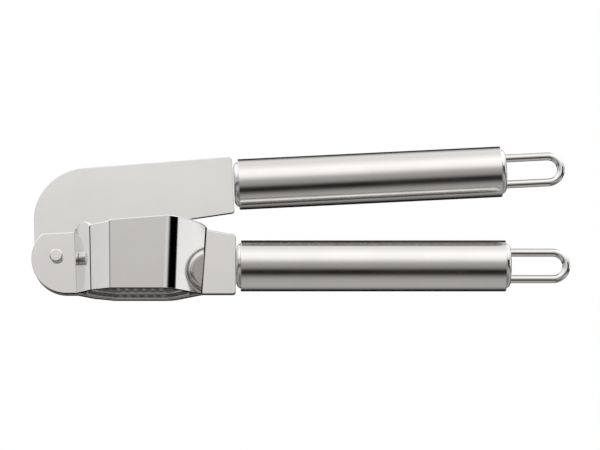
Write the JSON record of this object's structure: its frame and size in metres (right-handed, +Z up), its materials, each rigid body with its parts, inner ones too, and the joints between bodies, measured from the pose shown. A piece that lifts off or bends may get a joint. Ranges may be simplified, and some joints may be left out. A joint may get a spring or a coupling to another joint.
{
  "type": "garlic press",
  "caption": "Two-lever steel garlic press with a faceted sieve chamber, a hinged plunger, round tubular grips and wire hanging loops.",
  "frame": {"origin": "middle of the closed press's bounding box in plan, at the level of the cheeks' lower edges that it stands on", "axes": "+X from the pivot towards the grips, +Y across to the rear cheek, +Z up from the sieve to the upper lever"},
  "size_m": [0.1896, 0.0268, 0.0534],
  "materials": {
    "polished_steel": "mirror polished stainless steel",
    "satin_steel": "fine satin stainless steel",
    "brushed_steel": "stainless steel brushed along its length"
  },
  "bodies": {
    "lower_lever": {"front_cheek": "polished_steel", "rear_cheek": "polished_steel", "sieve": "polished_steel", "pivot_rivet": "satin_steel", "lower_front_cap": "satin_steel", "lower_grip_tube": "brushed_steel", "lower_end_cap": "satin_steel", "lower_hanging_loop": "polished_steel"},
    "upper_lever": {"upper_lever_plate": "satin_steel", "upper_front_cap": "satin_steel", "upper_grip_tube": "brushed_steel", "upper_end_cap": "satin_steel", "upper_hanging_loop": "polished_steel"},
    "plunger": {"plunger_foot": "satin_steel", "plunger_bracket": "satin_steel", "plunger_rivet": "satin_steel"}
  },
  "joints": [
    {"name": "lever_pivot", "type": "hinge", "parent": "lower_lever", "child": "upper_lever", "pos_m": [-0.08597, 0, 0.01305], "axis": [0, -1, 0], "range_deg": [0, 110]},
    {"name": "plunger_swing", "type": "hinge", "parent": "upper_lever", "child": "plunger", "pos_m": [-0.05597, 0, 0.01205], "axis": [0, -1, 0], "range_deg": [-12, 0]}
  ],
  "couplings": [
    {"joint": "plunger_swing", "follows": "lever_pivot", "ratio": -0.1}
  ]
}
